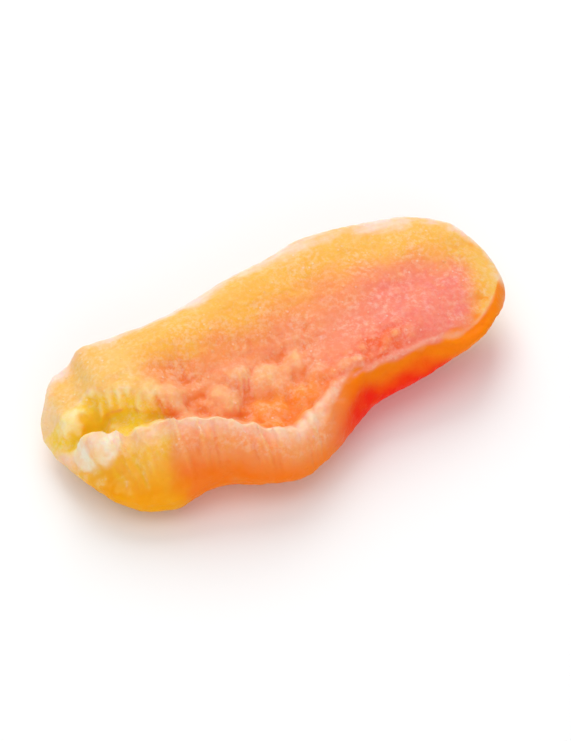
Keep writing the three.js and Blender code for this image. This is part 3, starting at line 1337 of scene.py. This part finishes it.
@dataclass
class PapayaSlice:
    """The slice of fruit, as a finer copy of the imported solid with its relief. Lengths in millimetres.

    Attributes:
        node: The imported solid's name.
        merge_distance: How close points of the solid are joined.
        voxel: How far apart the finer copy's points are.
        softening: How often the finer copy is smoothed.
        sharpening: How much more the solid's own features stand out.
        sharpest: The most that a feature is taken to stand out.
        end_swelling: How much thicker the ends are made.
        swelling_reach: How far in from an end that goes.
        end_reaches: How far in from an end the first and the last smoothing go.
        end_passes: How many smoothings there are between those two.
        tip_region: The lip's free end.
        tip_move: How far the free end is moved along, across and up.
        rounding_passes: How often the slice is smoothed until its small features are gone.
    """

    node: str = "papaya_slice"
    merge_distance: float = 0.001
    voxel: float = 0.24
    softening: int = 8
    sharpening: float = 0.9
    sharpest: float = 0.45
    end_swelling: float = 0.3
    swelling_reach: float = 1.8
    end_reaches: Span = (3.2, 1.2)
    end_passes: int = 36
    tip_region: Region = Region(ends=(-20, -25.5), across=(2, -1), up=(4, 7))
    tip_move: Triple = (1.0, 0.2, -0.6)
    rounding_passes: int = 60
    relief: Relief = Relief()
    finish: FleshFinish = FleshFinish()

    def fine_copy(self) -> bpy.types.Object:
        """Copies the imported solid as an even, fine and softened mesh.

        Returns:
            The new piece, without relief.
        """
        solid = bmesh.new()
        solid.from_mesh(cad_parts[self.node].data)
        bmesh.ops.remove_doubles(solid, verts=solid.verts, dist=self.merge_distance * MM)
        self.swell_ends(solid)
        mesh = bpy.data.meshes.new("slice_flesh")
        solid.to_mesh(mesh)
        solid.free()
        piece = link(bpy.data.objects.new("slice_flesh", mesh))
        even = piece.modifiers.new("even", "REMESH")
        even.mode = "VOXEL"
        even.voxel_size = self.voxel * MM
        soft = piece.modifiers.new("soft", "SMOOTH")
        soft.factor = 0.5
        soft.iterations = self.softening
        bake_modifiers(piece)
        self.round_ends(piece.data)
        self.settle_tip(piece.data)
        return piece

    def swell_ends(self, solid: bmesh.types.BMesh) -> None:
        """Thickens the slice's two ends, whose edges are too thin for an even mesh.

        Args:
            solid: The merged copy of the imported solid.
        """
        places = np.array([vertex.co.x for vertex in solid.verts]) / MM
        from_end = np.minimum(places - places.min(), places.max() - places)
        swellings = self.end_swelling * rise(from_end, self.swelling_reach, 0) * MM
        moves = [vertex.normal * swelling for vertex, swelling in zip(solid.verts, swellings)]
        for vertex, move in zip(solid.verts, moves):
            vertex.co += move

    def round_ends(self, mesh: bpy.types.Mesh) -> None:
        """Rounds the slice's two thin ends, the outermost part the most.

        Args:
            mesh: The even, fine mesh.
        """
        smooth = bmesh.new()
        smooth.from_mesh(mesh)
        places = [vertex.co.x for vertex in smooth.verts]
        left, right = min(places), max(places)
        for reach in np.linspace(*self.end_reaches, self.end_passes) * MM:
            ends = [vertex for vertex in smooth.verts if not left + reach < vertex.co.x < right - reach]
            soften(smooth, ends)
        smooth.to_mesh(mesh)
        smooth.free()

    def settle_tip(self, mesh: bpy.types.Mesh) -> None:
        """Sets the lip's free end back and down a little, without changing its form."""
        lie = Lie(points_of(mesh), normals_of(mesh))
        move_points(mesh, lie.points + self.tip_region.of(lie)[:, None] * self.tip_move)

    def rounded_points(self, mesh: bpy.types.Mesh) -> np.ndarray:
        """The points as they would lie if the slice were smoothed until its small features are gone.

        Args:
            mesh: The mesh, which is left as it is.

        Returns:
            One row of three places for each point, in millimetres.
        """
        smooth = bmesh.new()
        smooth.from_mesh(mesh)
        for _ in range(self.rounding_passes):
            soften(smooth, smooth.verts)
        points = np.array([vertex.co[:] for vertex in smooth.verts]) / MM
        smooth.free()
        return points

    def standing_out(self, mesh: bpy.types.Mesh) -> np.ndarray:
        """How far each point stands out from the rounded slice: less than 0 in a crease."""
        return ((points_of(mesh) - self.rounded_points(mesh)) * normals_of(mesh)).sum(axis=1)

    def raise_relief(self, mesh: bpy.types.Mesh) -> None:
        """Sharpens the solid's own features and adds the fine relief, without going below the floor.

        Args:
            mesh: The even, fine mesh.
        """
        lie = Lie(points_of(mesh), normals_of(mesh))
        features = np.clip(self.standing_out(mesh), -self.sharpest, self.sharpest)
        lift = self.sharpening * features * self.relief.calm(lie) + self.relief.heights(lie)
        lifted = lie.points + lie.normals * lift[:, None]
        lifted[:, UP] = np.maximum(lifted[:, UP], 0)
        move_points(mesh, lifted)

    def paint(self, mesh: bpy.types.Mesh) -> None:
        """Paints each kind of flesh on the finished mesh, as an attribute of its points.

        Args:
            mesh: The finished mesh.
        """
        lie = Lie(points_of(mesh), normals_of(mesh))
        flesh = FleshMap(lie, self.standing_out(mesh), self.relief.lobes.gap(lie))
        for tissue, shares in flesh.shares().items():
            layer = mesh.attributes.new(tissue.value, "FLOAT", "POINT")
            layer.data.foreach_set("value", np.clip(shares, 0, 1).astype(np.float32))

    def build(self) -> bpy.types.Object:
        """Builds the slice and dresses it.

        Returns:
            The finished piece.
        """
        piece = self.fine_copy()
        mesh = piece.data
        self.raise_relief(mesh)
        self.paint(mesh)
        mesh.shade_smooth()
        mesh.materials.clear()
        mesh.materials.append(self.finish.make())
        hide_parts(self.node)
        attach(piece, "root")
        return piece


# ---------------------------------------------------------------------------------------------------
# The studio. Lengths in metres, angles in degrees.


@dataclass(frozen=True)
class Softbox:
    """A square studio light that faces the slice."""

    name: str
    azimuth: float
    elevation: float
    distance: float
    size: float
    power: float

    def hang(self, target: Vector) -> None:
        """Puts the light in the scene, aimed at the target.

        Args:
            target: The place that the light faces.
        """
        lamp = bpy.data.lights.new(self.name, "AREA")
        lamp.size = self.size
        lamp.energy = self.power
        light = link(bpy.data.objects.new(self.name, lamp))
        direction = back_vector(self.azimuth, self.elevation)
        light.location = target + direction * self.distance
        light.rotation_mode = "QUATERNION"
        light.rotation_quaternion = direction.to_track_quat("Z", "Y")


@dataclass
class Studio:
    """The pale floor, the soft lights and the camera."""

    floor_size: float = 3.0
    azimuth: float = -23
    elevation: float = 50
    lens: float = 200
    distance: float = 0.484
    nearest: float = 0.01
    boxes: tuple[Softbox, ...] = (
        Softbox("back_box", azimuth=165, elevation=48, distance=0.55, size=0.40, power=1.6),
        Softbox("top_box", azimuth=-60, elevation=80, distance=0.60, size=0.50, power=0.9),
        Softbox("front_box", azimuth=-15, elevation=25, distance=0.70, size=0.45, power=1.2),
    )
    sky: float = 0.48

    def lay_floor(self) -> None:
        """Lays the floor that the slice rests on."""
        sheet = bmesh.new()
        bmesh.ops.create_grid(sheet, x_segments=1, y_segments=1, size=self.floor_size / 2)
        mesh = bpy.data.meshes.new("floor")
        sheet.to_mesh(mesh)
        sheet.free()
        mesh.materials.append(FloorFinish().make())
        link(bpy.data.objects.new("floor", mesh))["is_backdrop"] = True

    def light(self, target: Vector) -> None:
        """Hangs the softboxes and lights the air around the slice.

        Args:
            target: The place that the softboxes face.
        """
        for box in self.boxes:
            box.hang(target)
        world = bpy.data.worlds.new("studio")
        world.use_nodes = True
        background = world.node_tree.nodes["Background"]
        background.inputs["Color"].default_value = (1, 1, 1, 1)
        background.inputs["Strength"].default_value = self.sky
        bpy.context.scene.world = world

    def set_camera(self, target: Vector) -> None:
        """Points the camera at the slice's shown side.

        Args:
            target: The place in the middle of the view.
        """
        data = bpy.data.cameras.new("camera")
        data.lens = self.lens
        data.clip_start = self.nearest
        camera = link(bpy.data.objects.new("camera", data))
        back = back_vector(self.azimuth, self.elevation)
        camera.location = target + back * self.distance
        camera.rotation_mode = "QUATERNION"
        camera.rotation_quaternion = back.to_track_quat("Z", "Y")
        bpy.context.scene.camera = camera

    def build(self, lowest: Vector, highest: Vector) -> None:
        """Builds the studio round a box, given by its corners.

        Args:
            lowest: The box's lowest corner.
            highest: The box's highest corner.
        """
        target = (lowest + highest) / 2
        self.lay_floor()
        self.light(target)
        self.set_camera(target)
        bpy.context.scene.view_settings.view_transform = "Standard"


def main() -> None:
    """Builds the slice and its studio, and reports each piece."""
    logging.basicConfig(level=logging.INFO, format="%(message)s")
    packed_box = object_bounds()
    piece = PapayaSlice().build()
    LOG.info("%s: %d points, %d faces", piece.name, len(piece.data.vertices), len(piece.data.polygons))
    Studio().build(*packed_box)
    LOG.info("studio: floor, %d softboxes, camera", len(Studio.boxes))


if __name__ == "__main__":
    main()
